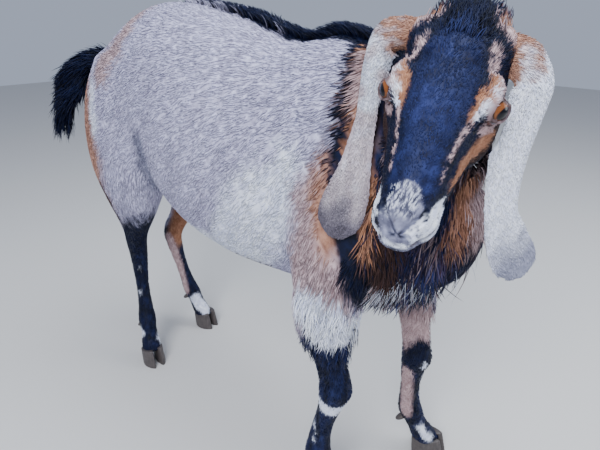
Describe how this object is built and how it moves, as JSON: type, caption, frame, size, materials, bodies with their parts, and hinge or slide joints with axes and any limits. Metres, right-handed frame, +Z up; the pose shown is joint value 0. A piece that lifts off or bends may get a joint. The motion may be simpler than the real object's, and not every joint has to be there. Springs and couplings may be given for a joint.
{
  "type": "nubian goat",
  "caption": "Life-size standing Nubian buck with long hanging ears, head turned to its right, roan coat, black legs and a shaggy dark neck.",
  "frame": {"origin": "the point on the floor under the middle of the whole goat's box", "axes": "+Z up, the goat faces -Y, its left side is +X"},
  "size_m": [0.403, 1.0536, 0.8675],
  "materials": {
    "torso_surface": "silvery roan coat",
    "neck_surface": "long dark brown coat",
    "foreleg_left_upper_surface": "short black coat with white and tan marks",
    "foreleg_right_upper_surface": "short black coat with white and tan marks",
    "hindleg_left_upper_surface": "short black coat with white and tan marks",
    "hindleg_right_upper_surface": "short black coat with white and tan marks",
    "foreleg_right_lower_surface": "short black coat with white and tan marks",
    "foreleg_left_lower_surface": "short black coat with white and tan marks",
    "hindleg_left_lower_surface": "short black coat with white and tan marks",
    "hindleg_right_lower_surface": "short black coat with white and tan marks",
    "ear_left_surface": "short white and grey coat",
    "ear_right_surface": "short white and grey coat",
    "tail_surface": "black hair",
    "eye_left_surface": "wet amber",
    "eye_right_surface": "wet amber",
    "head_surface": "short black coat, grey muzzle",
    "dewclaw_foreleg_right_left_surface": "horn",
    "dewclaw_foreleg_right_right_surface": "horn",
    "dewclaw_foreleg_left_left_surface": "horn",
    "dewclaw_foreleg_left_right_surface": "horn",
    "dewclaw_hindleg_right_left_surface": "horn",
    "dewclaw_hindleg_right_right_surface": "horn",
    "dewclaw_hindleg_left_left_surface": "horn",
    "dewclaw_hindleg_left_right_surface": "horn",
    "claw_foreleg_right_left_surface": "horn",
    "claw_foreleg_right_right_surface": "horn",
    "claw_foreleg_left_left_surface": "horn",
    "claw_foreleg_left_right_surface": "horn",
    "claw_hindleg_right_left_surface": "horn",
    "claw_hindleg_right_right_surface": "horn",
    "claw_hindleg_left_left_surface": "horn",
    "claw_hindleg_left_right_surface": "horn"
  },
  "bodies": {
    "root": {"torso": "torso_surface", "neck": "neck_surface", "foreleg_left_upper": "foreleg_left_upper_surface", "foreleg_right_upper": "foreleg_right_upper_surface", "hindleg_left_upper": "hindleg_left_upper_surface", "hindleg_right_upper": "hindleg_right_upper_surface", "foreleg_right_lower": "foreleg_right_lower_surface", "foreleg_left_lower": "foreleg_left_lower_surface", "hindleg_left_lower": "hindleg_left_lower_surface", "hindleg_right_lower": "hindleg_right_lower_surface", "ear_left": "ear_left_surface", "ear_right": "ear_right_surface", "tail": "tail_surface", "eye_left": "eye_left_surface", "eye_right": "eye_right_surface", "head": "head_surface", "dewclaw_foreleg_right_left": "dewclaw_foreleg_right_left_surface", "dewclaw_foreleg_right_right": "dewclaw_foreleg_right_right_surface", "dewclaw_foreleg_left_left": "dewclaw_foreleg_left_left_surface", "dewclaw_foreleg_left_right": "dewclaw_foreleg_left_right_surface", "dewclaw_hindleg_right_left": "dewclaw_hindleg_right_left_surface", "dewclaw_hindleg_right_right": "dewclaw_hindleg_right_right_surface", "dewclaw_hindleg_left_left": "dewclaw_hindleg_left_left_surface", "dewclaw_hindleg_left_right": "dewclaw_hindleg_left_right_surface", "claw_foreleg_right_left": "claw_foreleg_right_left_surface", "claw_foreleg_right_right": "claw_foreleg_right_right_surface", "claw_foreleg_left_left": "claw_foreleg_left_left_surface", "claw_foreleg_left_right": "claw_foreleg_left_right_surface", "claw_hindleg_right_left": "claw_hindleg_right_left_surface", "claw_hindleg_right_right": "claw_hindleg_right_right_surface", "claw_hindleg_left_left": "claw_hindleg_left_left_surface", "claw_hindleg_left_right": "claw_hindleg_left_right_surface"}
  },
  "joints": []
}
